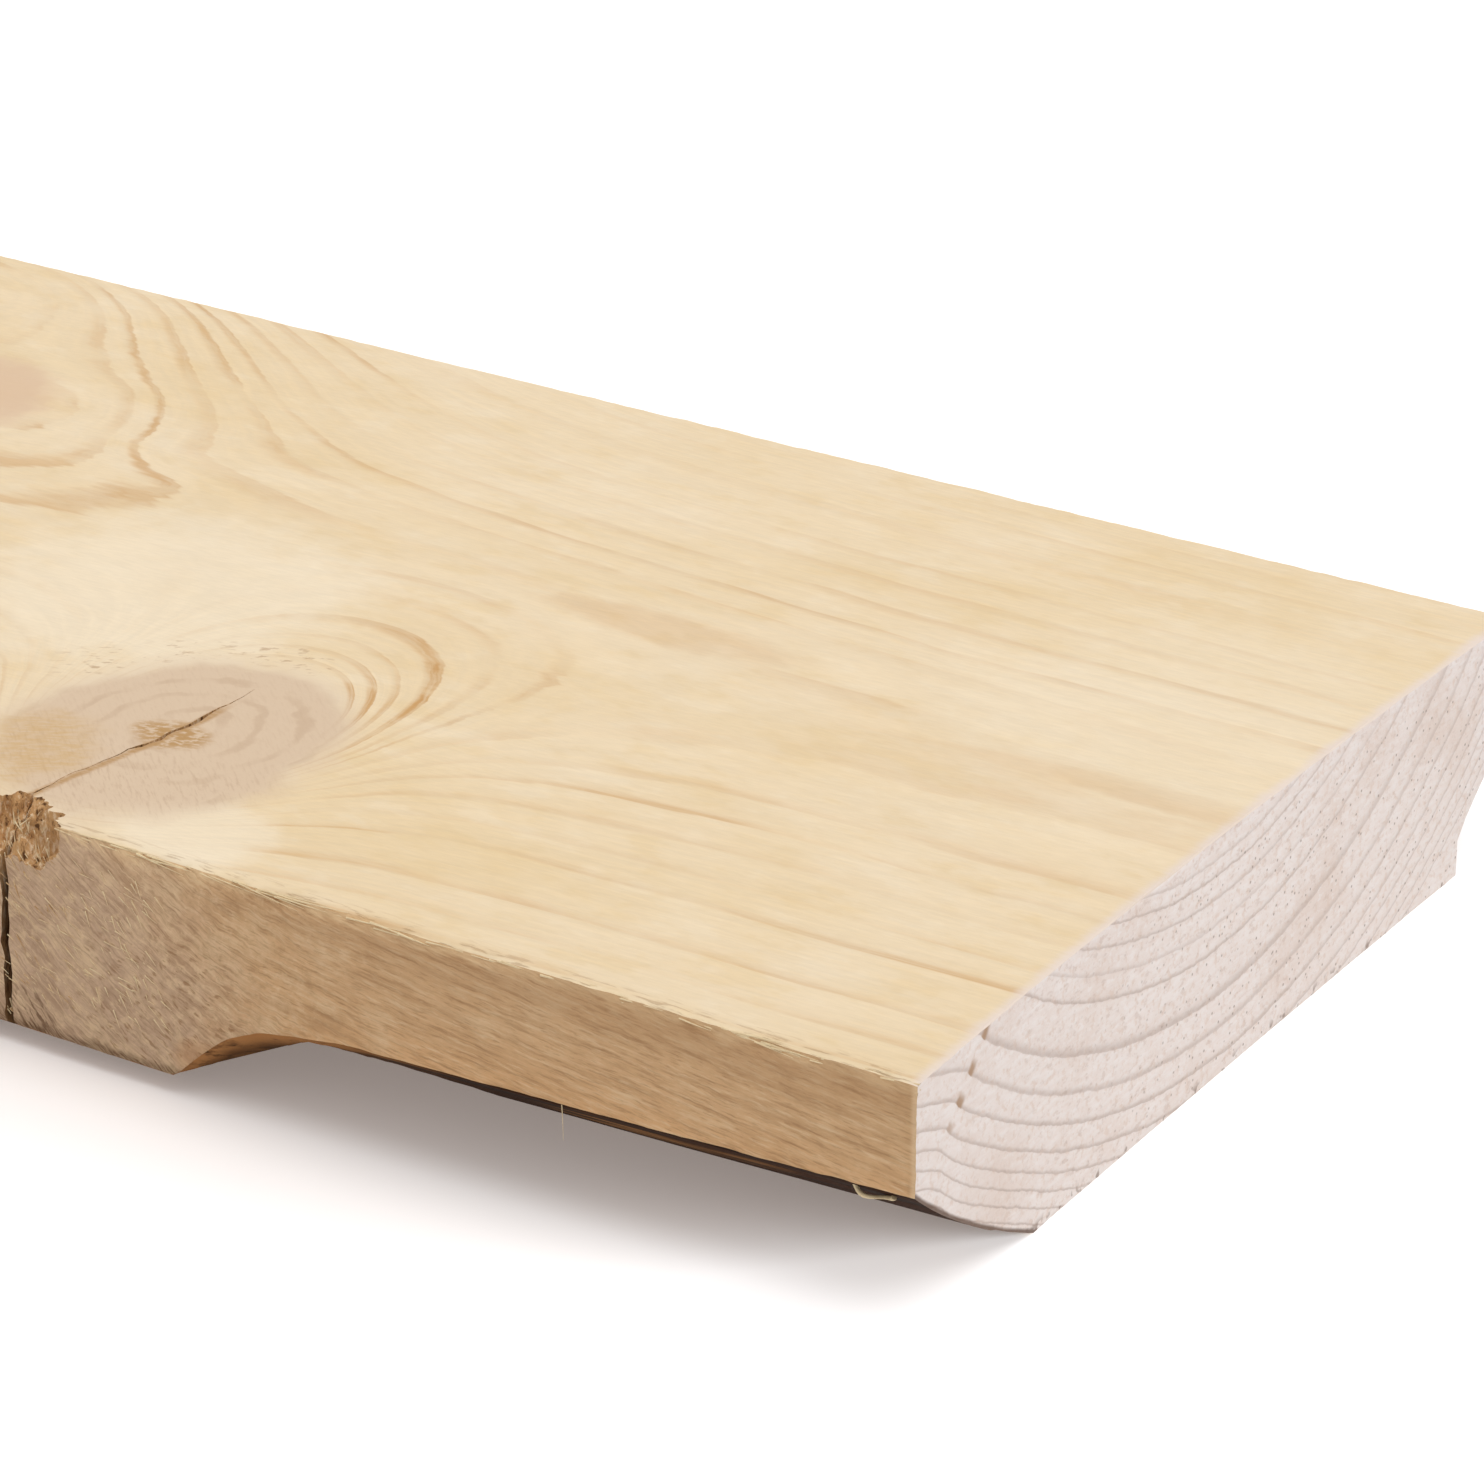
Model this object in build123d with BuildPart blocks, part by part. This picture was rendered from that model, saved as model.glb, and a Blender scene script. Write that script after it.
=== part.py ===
"""Waney edge board: one sawn softwood board cut from the outside of a small log.

The board is built as the sawmill makes it. The log is lofted through round sections,
branch collars and a low flute swell its surface, and the sawn slab keeps only what the
saws leave. Where the log runs out before the slab's lower corners, its own surface stays
on the board as wane.

Frame: X runs along the board, the +X end is the trimmed end, -Y is the edge with the big
knot, Z is up and the narrower bark side lies on Z = 0. The origin is under the middle.
"""

import math
import os

from build123d import *

# Sawn sizes
board_length = 1800.0
board_width = 150.0
board_thickness = 32.0

# The log: its radius at the trimmed end, how it widens towards the butt, how deep the
# lower saw cut runs under its surface, and how far its pith is off the board's middle
log_radius = 115.7
log_taper = 0.003
lower_cut = 10.7
pith_offset = 1.0
station_spacing = 120.0

# Slow swelling of the log's outside and sideways drift of its pith along the length
swell_height = 3.0
swell_length = 760.0
drift_width = 4.0
drift_length = 2600.0

# Branch collars: distance from the trimmed end, lean of the branch from straight down
# (negative towards the -Y edge) and size against the largest one
branches = (
    (126.0, -32.2, 1.0),
    (655.0, 37.0, 0.62),
    (1120.0, -35.0, 0.72),
    (1560.0, 34.0, 0.8),
)

# The largest collar: the oval face where its branch was trimmed off, how far that stands
# over the log's surface, and how the collar flares below it into the log
collar_height = 7.6
collar_half_length = 26.0
collar_half_width = 17.5
collar_root = 5.0
collar_fade = 22.0
collar_widening = 14.0
flare_steps = 6
flare_spacing = 8.0

# Flute: a low ridge on the log that stands out past the foot of the +Y wane as a toe and
# falls to nothing along its length
flute_stand = 12.8
flute_height = 4.8
flute_width = 24.0
flute_length = 150.0

# Drying check through the big knot, from its tip out to the -Y edge: distance in from the
# edge, shift along X from the middle of the knot, and opening
check_outline = (
    (44.0, 2.1, 0.0),
    (28.0, 1.6, 0.9),
    (5.0, -2.4, 0.7),
    (0.0, -2.6, 1.0),
)

# Pit where the knot has broken out of the top -Y arris
pit_radius = 6.0

# How far the log runs past the sawn faces
overrun = 40.0

pith_height = log_radius - lower_cut
wane_foot = pith_offset + math.sqrt(log_radius**2 - pith_height**2)
trimmed_end = board_length / 2
knot_edge = -board_width / 2
knot_x = trimmed_end - branches[0][0]


def log_radius_at(distance):
    """Radius of the log at a distance from the trimmed end."""
    swell = swell_height * math.sin(2 * math.pi * distance / swell_length)
    return log_radius + log_taper * distance + swell


def pith_at(distance):
    """Y and Z of the pith at a distance from the trimmed end."""
    drift = drift_width * math.sin(2 * math.pi * distance / drift_length)
    return pith_offset - drift, pith_height


def check_side(side):
    """Corners of the check on one side of its middle line, from the tip outwards."""
    return [(knot_x + shift + side * gap / 2, knot_edge + inset) for inset, shift, gap in check_outline]


log_span = board_length + 2 * overrun
bay_count = math.ceil(log_span / station_spacing)

with BuildPart() as log:
    # Trunk
    for station in range(bay_count + 1):
        distance = station * log_span / bay_count - overrun
        with BuildSketch(Plane.YZ.offset(trimmed_end - distance)):
            with Locations(pith_at(distance)):
                Circle(log_radius_at(distance))
    loft()
    # Branch collars, each lofted outwards along its branch
    for distance, lean, size in branches:
        outward = Vector(0, -1, 0).rotate(Axis.X, 90 + lean)
        pith = Vector(trimmed_end - distance, *pith_at(distance))
        for step in range(flare_steps + 1):
            reach = step * flare_spacing
            flare = math.exp(-reach / collar_fade)
            height = (collar_height + collar_root) * flare - collar_root
            half_length = collar_half_length + reach
            half_width = collar_half_width + collar_widening * (1 - flare)
            centre = pith + outward * (log_radius_at(distance) + size * height)
            with BuildSketch(Plane(origin=centre, x_dir=(1, 0, 0), z_dir=outward)):
                Ellipse(size * half_length, size * half_width)
        loft()
    # Flute
    for distance in (-overrun, flute_length + overrun):
        fall = flute_height * distance / flute_length
        with BuildSketch(Plane.YZ.offset(trimmed_end - distance)):
            with Locations((wane_foot + flute_stand - fall, flute_height - fall)):
                Rectangle(flute_width, flute_width, align=(Align.MAX, Align.MAX))
    loft()

with BuildPart() as board:
    # Sawn slab
    with BuildSketch(Plane.YZ.offset(-trimmed_end)):
        Rectangle(board_width, board_thickness, align=(Align.CENTER, Align.MIN))
    extrude(amount=board_length)
    # What the log leaves of it
    add(log.part, mode=Mode.INTERSECT)
    # Drying check
    with BuildSketch():
        with BuildLine():
            Polyline(*check_side(1), *reversed(check_side(-1)[1:]), close=True)
        make_face()
    extrude(amount=board_thickness, mode=Mode.SUBTRACT)
    # Broken pit
    with Locations((knot_x, knot_edge, board_thickness)):
        Sphere(pit_radius, mode=Mode.SUBTRACT)
board.part.label = "board"

os.makedirs("parts", exist_ok=True)
export_step(board.part, "parts/board.step")
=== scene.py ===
"""Looks of the waney edge board: a flat sawn softwood board with its log's surface left on it.

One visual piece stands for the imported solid: a block that is cut into a fine lattice, shaped to
the log's surface and roughened, with its drying check and broken knot cut out of it. A second
piece holds the loose fibres that the saws left. All finishes read the same growth rings.
"""
import logging
import math
from dataclasses import dataclass, field
from enum import Enum
from functools import reduce
from typing import Iterable, Sequence, Union

import bpy
import numpy as np
from bpy.types import Material, Node, NodeSocket, NodeTree, Object
from mathutils import Euler, Matrix, noise


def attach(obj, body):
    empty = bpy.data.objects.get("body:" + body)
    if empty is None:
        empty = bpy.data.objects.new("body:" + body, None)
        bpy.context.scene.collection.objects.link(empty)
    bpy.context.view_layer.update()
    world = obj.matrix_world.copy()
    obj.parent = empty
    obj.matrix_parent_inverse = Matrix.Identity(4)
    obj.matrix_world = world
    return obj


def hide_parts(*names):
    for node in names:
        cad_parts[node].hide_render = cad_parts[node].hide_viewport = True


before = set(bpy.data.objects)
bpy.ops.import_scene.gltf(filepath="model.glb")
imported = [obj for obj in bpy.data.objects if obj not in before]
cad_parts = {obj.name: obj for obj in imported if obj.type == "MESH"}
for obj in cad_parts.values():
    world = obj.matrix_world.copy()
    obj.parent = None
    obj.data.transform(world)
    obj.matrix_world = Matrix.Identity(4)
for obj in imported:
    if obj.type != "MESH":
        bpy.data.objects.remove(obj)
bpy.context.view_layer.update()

log = logging.getLogger("waney_board")
Triple = tuple[float, float, float]

MM = 0.001
BOARD_LENGTH = 1800.0
BOARD_WIDTH = 150.0
BOARD_THICKNESS = 32.0
TRIMMED_END = BOARD_LENGTH / 2
HALF_WIDTH = BOARD_WIDTH / 2
END_HOLLOW = 1.5
PITH_HEIGHT = 105.0
PITH_START = -1.87
PITH_DRIFT = -0.005
PITH_DRIFT_END = -250.0
ON_FACE = 1e-3


class Surface(Enum):
    """The kinds of surface on the board, in the order of its material slots."""

    TOP = 0
    EDGE = 1
    END = 2
    BARK_SIDE = 3
    TORN = 4


def paint(code: str) -> tuple[float, float, float, float]:
    """Turns a written colour into the linear values that a socket takes.

    Args:
        code: Six hexadecimal digits, as red, green and blue.

    Returns:
        Linear red, green, blue and a full alpha.
    """
    parts = [int(code[i:i + 2], 16) / 255 for i in (0, 2, 4)]
    linear = [p / 12.92 if p <= 0.04045 else ((p + 0.055) / 1.055) ** 2.4 for p in parts]
    return linear[0], linear[1], linear[2], 1.0


# Shader wiring

Feed = Union["Flow", float, Sequence[float]]
Shade = Union["Flow", str]


@dataclass(frozen=True)
class Flow:
    """A value on its way through a node tree, with the arithmetic that lays Math nodes."""

    tree: NodeTree
    socket: NodeSocket

    def math(self, operation: str, *others: Feed) -> "Flow":
        """Lays a Math node on this value.

        Args:
            operation: The node's operation.
            others: Its second and third values.

        Returns:
            The result.
        """
        feeds = dict(enumerate((self, *others)))
        return lay(self.tree, "ShaderNodeMath", feeds, operation=operation)

    def __add__(self, other: Feed) -> "Flow":
        """Adds a value."""
        return self.math("ADD", other)

    def __sub__(self, other: Feed) -> "Flow":
        """Takes a value away."""
        return self.math("SUBTRACT", other)

    def __mul__(self, other: Feed) -> "Flow":
        """Multiplies by a value."""
        return self.math("MULTIPLY", other)

    def __truediv__(self, other: Feed) -> "Flow":
        """Divides by a value."""
        return self.math("DIVIDE", other)

    def __pow__(self, other: Feed) -> "Flow":
        """Raises to a power."""
        return self.math("POWER", other)

    def least(self, other: Feed) -> "Flow":
        """Takes the smaller of two values."""
        return self.math("MINIMUM", other)

    def most(self, other: Feed) -> "Flow":
        """Takes the larger of two values."""
        return self.math("MAXIMUM", other)

    def ease(self, start: float, end: float, low: float = 0.0, high: float = 1.0) -> "Flow":
        """Maps a range of this value to another one with soft ends.

        Args:
            start: Where the step starts, below end.
            end: Where the step ends.
            low: The result up to start.
            high: The result from end on.

        Returns:
            The mapped value.
        """
        feeds = {"Value": self, "From Min": start, "From Max": end, "To Min": low, "To Max": high}
        return lay(self.tree, "ShaderNodeMapRange", feeds, interpolation_type="SMOOTHSTEP")

    def fall(self, start: float, end: float, high: float = 1.0) -> "Flow":
        """Falls softly from a value to nothing over a range."""
        return self.ease(start, end, high, 0.0)

    def parts(self) -> tuple["Flow", "Flow", "Flow"]:
        """Splits a vector into its three values."""
        node = self.tree.nodes.new("ShaderNodeSeparateXYZ")
        self.tree.links.new(self.socket, node.inputs[0])
        return tuple(Flow(self.tree, output) for output in node.outputs)

    def vector(self, operation: str, other: Feed, output: int = 0) -> "Flow":
        """Lays a Vector Math node on this vector.

        Args:
            operation: The node's operation.
            other: Its second vector.
            output: Which output is read, 1 for a number.

        Returns:
            The result.
        """
        return lay(self.tree, "ShaderNodeVectorMath", {0: self, 1: other}, output, operation=operation)

    def scaled(self, factor: Feed) -> "Flow":
        """Multiplies a vector by a number."""
        return lay(self.tree, "ShaderNodeVectorMath", {0: self, 3: factor}, operation="SCALE")


def feed(tree: NodeTree, node: Node, feeds: dict) -> None:
    """Links or sets a node's inputs.

    Args:
        tree: The tree that the node is in.
        node: The node.
        feeds: Values or flows by the index or name of the input that takes them.
    """
    for slot, value in feeds.items():
        if isinstance(value, Flow):
            tree.links.new(value.socket, node.inputs[slot])
        else:
            node.inputs[slot].default_value = value


def lay(tree: NodeTree, kind: str, feeds: dict, output: Union[int, str] = 0, **settings) -> Flow:
    """Adds a node to a tree, sets it up and feeds it.

    Args:
        tree: The tree that gets the node.
        kind: The node's type.
        feeds: Values or flows by the index or name of the input that takes them.
        output: The index or name of the output that is read.
        settings: Properties of the node.

    Returns:
        The node's output.
    """
    node = tree.nodes.new(kind)
    for name, value in settings.items():
        setattr(node, name, value)
    feed(tree, node, feeds)
    return Flow(tree, node.outputs[output])


def join(tree: NodeTree, x: Feed, y: Feed, z: Feed) -> Flow:
    """Makes a vector of three values."""
    return lay(tree, "ShaderNodeCombineXYZ", {0: x, 1: y, 2: z})


def cloud(place: Flow, scale: float, detail: float = 2.0, rough: float = 0.5, bend: float = 0.0) -> Flow:
    """Lays a noise texture.

    Args:
        place: The coordinates it reads.
        scale: Its scale.
        detail: How many finer layers it has.
        rough: How strong those are.
        bend: How far it is distorted.

    Returns:
        The noise, about 0.5.
    """
    feeds = {"Vector": place, "Scale": scale, "Detail": detail, "Roughness": rough, "Distortion": bend}
    return lay(place.tree, "ShaderNodeTexNoise", feeds)


def seen_directly(tree: NodeTree) -> Flow:
    """Tells whether a ray comes from the camera, a gloss or a clear body.

    Args:
        tree: The tree that gets the nodes.

    Returns:
        1 for such a ray, or 0.
    """
    ray = tree.nodes.new("ShaderNodeLightPath")
    camera, gloss, clear = (
        Flow(tree, ray.outputs[name]) for name in ("Is Camera Ray", "Is Glossy Ray", "Is Transmission Ray")
    )
    return camera.most(gloss).most(clear)


@dataclass
class Group:
    """A shader node group with named inputs and outputs."""

    name: str
    inputs: dict[str, str]
    outputs: dict[str, str]
    tree: NodeTree = field(init=False)

    KINDS = {"value": "NodeSocketFloat", "vector": "NodeSocketVector"}

    def __post_init__(self) -> None:
        """Makes the group's tree and sockets."""
        self.tree = bpy.data.node_groups.new(self.name, "ShaderNodeTree")
        for side, sockets in (("INPUT", self.inputs), ("OUTPUT", self.outputs)):
            for name, kind in sockets.items():
                self.tree.interface.new_socket(name=name, in_out=side, socket_type=self.KINDS[kind])
        self.entry = self.tree.nodes.new("NodeGroupInput")
        self.exit = self.tree.nodes.new("NodeGroupOutput")

    def takes(self) -> list[Flow]:
        """Reads the group's inputs, in their order."""
        return [Flow(self.tree, self.entry.outputs[name]) for name in self.inputs]

    def give(self, name: str, value: Flow) -> None:
        """Sends a value to one of the group's outputs."""
        self.tree.links.new(value.socket, self.exit.inputs[name])

    def place(self, tree: NodeTree, feeds: dict) -> dict[str, Flow]:
        """Places the group in another tree.

        Args:
            tree: The tree that gets it.
            feeds: Values or flows by input name.

        Returns:
            Its outputs by name.
        """
        node = tree.nodes.new("ShaderNodeGroup")
        node.node_tree = self.tree
        feed(tree, node, feeds)
        return {name: Flow(tree, node.outputs[name]) for name in self.outputs}


# The log

@dataclass(frozen=True)
class Collar:
    """A branch collar on the log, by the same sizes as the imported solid."""

    distance: float
    lean: float
    size: float
    height: float = 7.6
    half_length: float = 26.0
    half_width: float = 17.5
    root: float = 5.0
    fade: float = 22.0
    widening: float = 14.0


@dataclass(frozen=True)
class LogSurface:
    """The log's natural surface, which the lower side of the board follows."""

    radius: float = 115.7
    taper: float = 0.003
    pith_offset: float = 1.0
    swell_height: float = 3.0
    swell_length: float = 760.0
    drift_width: float = 4.0
    drift_length: float = 2600.0
    toe_stand: float = 12.8
    toe_height: float = 4.8
    toe_length: float = 150.0
    toe_width: float = 24.0
    toe_bite: float = 2.1
    toe_roll: float = 3.0
    thinnest: float = 4.0
    collar_span: float = 95.0
    halvings: int = 18
    sawn_flat: float = 0.01
    collars: tuple[Collar, ...] = (
        Collar(126.0, -32.2, 1.0), Collar(655.0, 37.0, 0.62),
        Collar(1120.0, -35.0, 0.72), Collar(1560.0, 34.0, 0.8),
    )

    def radius_at(self, distance: np.ndarray) -> np.ndarray:
        """Radius of the log at distances from the trimmed end."""
        swell = self.swell_height * np.sin(2 * math.pi * distance / self.swell_length)
        return self.radius + self.taper * distance + swell

    def pith_at(self, distance: np.ndarray) -> np.ndarray:
        """Y of the pith at distances from the trimmed end."""
        return self.pith_offset - self.drift_width * np.sin(2 * math.pi * distance / self.drift_length)

    def toe_reach(self, distance: np.ndarray) -> np.ndarray:
        """Y of the toe's outer side at distances from the trimmed end."""
        foot = self.pith_offset + math.sqrt(self.radius**2 - PITH_HEIGHT**2)
        return foot + self.toe_stand - self.toe_height * distance / self.toe_length

    def in_collar(self, collar: Collar, distance: np.ndarray, y: np.ndarray, z: np.ndarray) -> np.ndarray:
        """Tells which points are inside a branch collar.

        Args:
            collar: The collar.
            distance: Distances from the trimmed end.
            y: Y of the points.
            z: Z of the points.

        Returns:
            True where a point is inside.
        """
        lean = math.radians(collar.lean)
        off_y, off_z = y - self.pith_at(collar.distance), z - PITH_HEIGHT
        out = off_y * math.sin(lean) - off_z * math.cos(lean)
        side = off_y * math.cos(lean) + off_z * math.sin(lean)
        rise = (out - self.radius_at(collar.distance)) / collar.size
        flare = np.clip((rise + collar.root) / (collar.height + collar.root), 1e-3, 1.0)
        length = collar.half_length - collar.fade * np.log(flare)
        width = collar.half_width + collar.widening * (1 - flare)
        oval = ((distance - collar.distance) / length) ** 2 + (side / width) ** 2
        return (oval <= collar.size**2) & (rise <= collar.height) & (rise > -collar.root)

    def low_side(self, distance: np.ndarray, y: np.ndarray) -> np.ndarray:
        """Height of the board's lower side.

        Args:
            distance: Distances from the trimmed end.
            y: Y of the points.

        Returns:
            The heights, 0 where the lower saw has cut.
        """
        chord = self.radius_at(distance) ** 2 - (y - self.pith_at(distance)) ** 2
        low = PITH_HEIGHT - np.sqrt(np.maximum(chord, 1.0))
        reach = self.toe_reach(distance)
        toe = np.clip(1 - distance / self.toe_length, 0.0, 1.0)
        low = low - self.toe_bite * toe * np.exp(-np.abs(y - reach) / self.toe_roll) * (y > 0)
        low = np.where((toe > 0) & (y < reach) & (y > reach - self.toe_width), np.minimum(low, 0.0), low)
        low = np.clip(low, 0.0, BOARD_THICKNESS - self.thinnest)
        for collar in self.collars:
            close = np.abs(distance - collar.distance) < self.collar_span * collar.size
            close &= (np.sign(y) == np.sign(collar.lean)) & (low > 0)
            d, across, top = distance[close], y[close], low[close]
            inside, outside = top.copy(), np.zeros_like(top)
            for _ in range(self.halvings):
                middle = (inside + outside) / 2
                hit = self.in_collar(collar, d, across, middle)
                inside = np.where(hit, middle, inside)
                outside = np.where(hit, outside, middle)
            low[close] = np.where(inside < self.sawn_flat, 0.0, inside)
        return low


# Growth of the tree

@dataclass(frozen=True)
class Branch:
    """A branch that pushes the growth rings outwards and leaves a knot.

    Places are in millimetres from the trimmed end, negative along the board. The branch starts
    at the pith and crosses the top face at x and y.
    """

    x: float
    y: float
    push: float
    spread: float
    stretch: float
    fall: float
    girth: float
    sweep: float = 0.0

    def foot(self) -> np.ndarray:
        """Where the branch leaves the pith."""
        return np.array([self.x - self.sweep, -1.9, PITH_HEIGHT])

    def run(self) -> np.ndarray:
        """The direction that the branch grows in."""
        way = np.array([self.x, self.y, BOARD_THICKNESS]) - self.foot()
        return way / np.linalg.norm(way)

    def slope(self) -> float:
        """Radius of the knot for each millimetre along the branch."""
        way = np.array([self.x, self.y, BOARD_THICKNESS]) - self.foot()
        return self.girth / float(np.linalg.norm(way))

    def bend(self, places: np.ndarray) -> np.ndarray:
        """How far the branch pushes the rings at some places.

        Args:
            places: Points in rows, in millimetres from the trimmed end.

        Returns:
            One push for each point.
        """
        off = places - self.foot()
        along = off @ self.run()
        aside = off - along[:, None] * self.run()
        apart = (aside[:, 0] / self.stretch) ** 2 + aside[:, 1] ** 2 + aside[:, 2] ** 2
        return self.push * (1 + apart / self.spread**2) ** -self.fall


BIG_KNOT = Branch(-124.3, -44.4, 150.0, 12.74, 0.86, 1.5, 22.5, -9.6)
SMALL_KNOT = Branch(-206.0, 31.7, 7.8, 23.1, 1.31, 1.4, 0.01)
EDGE_KNOT = Branch(-258.0, 74.8, 37.1, 68.8, 3.0, 8.0, 6.0, -4.2)
BUD = Branch(-180.0, 27.0, -1.2, 5.0, 2.6, 1.4, 0.01)
BUD_FOOT = Branch(-176.0, 16.5, 1.0, 4.5, 2.0, 1.4, 0.01)
BRANCHES = (
    BIG_KNOT,
    SMALL_KNOT,
    EDGE_KNOT,
    BUD,
    BUD_FOOT,
    Branch(-655.0, 53.0, 90.0, 9.5, 0.9, 1.5, 13.0, -6.0),
    Branch(-872.0, -8.0, 24.0, 8.0, 1.1, 1.4, 6.0, 5.0),
    Branch(-1120.0, -53.0, 110.0, 10.5, 0.9, 1.5, 15.0, -8.0),
    Branch(-1338.0, 20.0, 20.0, 9.0, 1.2, 1.4, 6.0, 4.0),
    Branch(-1560.0, 47.0, 120.0, 11.0, 0.9, 1.5, 17.0, -6.0),
)


def ring_radius(places: np.ndarray) -> np.ndarray:
    """Growth ring radius near the trimmed end, as the saws meet it.

    Args:
        places: Points in rows, in millimetres from the trimmed end.

    Returns:
        One radius for each point, with the pushes of the two nearest branches.
    """
    pith = PITH_START + PITH_DRIFT * np.maximum(places[:, 0], PITH_DRIFT_END)
    radius = np.hypot(places[:, 1] - pith, PITH_HEIGHT - places[:, 2])
    for branch in BRANCHES[:3]:
        radius = radius - branch.bend(places)
    return radius


@dataclass(frozen=True)
class Ring:
    """The outer edge of one year's growth: its radius and how dark its latewood is."""

    radius: float
    depth: float


RINGS = tuple(Ring(*pair) for pair in (
    (50.5, 0.5), (55.2, 0.6), (59.6, 0.7), (62.8, 0.4), (66.2, 0.9), (68.6, 0.45), (70.2, 0.75),
    (73.1, 0.42), (75.8, 0.5), (77.9, 0.8), (80.9, 0.65), (84.3, 0.4), (87.6, 0.75), (94.0, 0.7),
    (98.6, 0.65), (102.4, 0.7), (105.8, 0.7), (108.4, 0.7), (110.6, 0.7), (112.7, 0.7), (114.6, 0.7),
))


class Growth:
    """The node groups that every finish of the board reads its rings and knots from."""

    LINE = 0.4
    HELD = 14
    OUTER_RADIUS = 116.0
    GUESSED = (-470.0, -230.0)

    def __init__(self) -> None:
        """Builds the groups."""
        self.branch = self.branch_group()
        self.rings = self.rings_group()
        self.fibres = self.fibres_group()
        self.patch = self.patch_group()
        self.slanting = self.slanting_group()

    def branch_group(self) -> Group:
        """Builds the group that bends the rings round one branch.

        Returns:
            The group, which puts out the push on the rings and how far out in its knot a place is.
        """
        group = Group(
            "branch_bend",
            {"Place": "vector", "Foot": "vector", "Run": "vector", "Push": "value", "Spread": "value",
             "Stretch": "value", "Fall": "value", "Slope": "value"},
            {"Bend": "value", "Reach": "value"},
        )
        place, foot, run, push, spread, stretch, fall, slope = group.takes()
        off = place.vector("SUBTRACT", foot)
        along = off.vector("DOT_PRODUCT", run, 1)
        x, y, z = off.vector("SUBTRACT", run.scaled(along)).parts()
        round_off = y * y + z * z
        near = ((x / stretch) ** 2.0 + round_off) / (spread * spread) + 1.0
        group.give("Bend", push / near ** fall)
        width = (x * x + round_off).math("SQRT")
        group.give("Reach", width / (slope * along.most(1.0)))
        return group

    def rings_group(self) -> Group:
        """Builds the group that finds the growth rings and knots at a place in the board.

        Returns:
            The group, which puts out the bent radius, the place within the year, the depth of that
            year's latewood and how far out in its knot a place is.
        """
        group = Group(
            "growth_rings",
            {"Place": "vector"},
            {"Radius": "value", "Year": "value", "Depth": "value", "Reach": "value"},
        )
        tree = group.tree
        place = group.takes()[0]
        x, y, z = place.parts()
        trunk = LogSurface()
        far = x.fall(*self.GUESSED)
        drift = (x * (2 * math.pi / trunk.drift_length)).math("SINE") * trunk.drift_width + 1.4
        pith = x.most(PITH_DRIFT_END) * PITH_DRIFT + PITH_START + (z * -0.09 + 2.88) + far * drift
        across = y - pith
        depth = z * -1.0 + PITH_HEIGHT
        radius = (across * across + depth * depth).math("SQRT")
        swell = (x * (-2 * math.pi / trunk.swell_length)).math("SINE") * trunk.swell_height - x * trunk.taper
        radius = radius - far * swell * (radius / self.OUTER_RADIUS)
        for length, width, height in ((170.0, 55.0, far * 9.0), (34.0, 15.0, 1.1), (32.0, 1.6, 0.55)):
            waves = cloud(place.vector("MULTIPLY", (1 / length, 1 / width, 1 / width)), 1.0, 2.0)
            radius = radius + (waves - 0.5) * height
        reach: Flow | None = None
        for branch in BRANCHES:
            found = self.branch.place(tree, {
                "Place": place, "Foot": tuple(branch.foot()), "Run": tuple(branch.run()),
                "Push": branch.push, "Spread": branch.spread, "Stretch": branch.stretch,
                "Fall": branch.fall, "Slope": branch.slope(),
            })
            radius = radius - found["Bend"]
            reach = found["Reach"] if reach is None else reach.least(found["Reach"])
        year, dark = self.years(tree, radius)
        group.give("Radius", radius)
        group.give("Year", year)
        group.give("Depth", dark)
        group.give("Reach", (cloud(place, 0.11, 2.0) - 0.5) * 0.22 + reach)
        return group

    def years(self, tree: NodeTree, radius: Flow) -> tuple[Flow, Flow]:
        """Splits a radius into years.

        Args:
            tree: The tree that gets the nodes.
            radius: The ring radius.

        Returns:
            The place within the year, from 0 at its start to 1 at its end, and its latewood's depth.
        """
        year: Flow | None = None
        dark: Flow | None = None
        for first in range(1, len(RINGS), self.HELD):
            years = RINGS[first:first + self.HELD]
            start = RINGS[first - 1].radius
            span = years[-1].radius + 1.0 - start
            node = tree.nodes.new("ShaderNodeValToRGB")
            tree.links.new(((radius - start) / span).socket, node.inputs[0])
            ramp = node.color_ramp
            for stop, position in zip(ramp.elements, (0.0, 1.0)):
                stop.position = position
                stop.color = (0.0, 0.0, 0.0, 1.0)
            low = start
            for ring in years:
                for spot, share in ((low + self.LINE, 0.0), (ring.radius, 1.0)):
                    stop = ramp.elements.new((spot - start) / span)
                    stop.color = (share, ring.depth, 0.0, 1.0)
                low = ring.radius
            stop = ramp.elements.new((low + self.LINE - start) / span)
            stop.color = (0.0, 0.0, 0.0, 1.0)
            split = tree.nodes.new("ShaderNodeSeparateColor")
            tree.links.new(node.outputs[0], split.inputs[0])
            share, depth = Flow(tree, split.outputs[0]), Flow(tree, split.outputs[1])
            year = share if year is None else year + share
            dark = depth if dark is None else dark + depth
        return year, dark

    def fibres_group(self) -> Group:
        """Builds the group that draws wood fibres which follow the rings.

        Returns:
            The group, which puts out fine and coarse streaks about 0.5.
        """
        group = Group(
            "wood_fibres",
            {"Place": "vector", "Radius": "value", "Length": "value", "Width": "value"},
            {"Fine": "value", "Coarse": "value"},
        )
        place, radius, length, width = group.takes()
        x, y, z = place.parts()
        line = join(group.tree, x / length, radius / width, (y + z) / (width * 14.0))
        group.give("Fine", cloud(line, 1.0, 3.0, 0.6))
        group.give("Coarse", cloud(line, 0.22, 2.0, 0.5))
        return group

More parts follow.
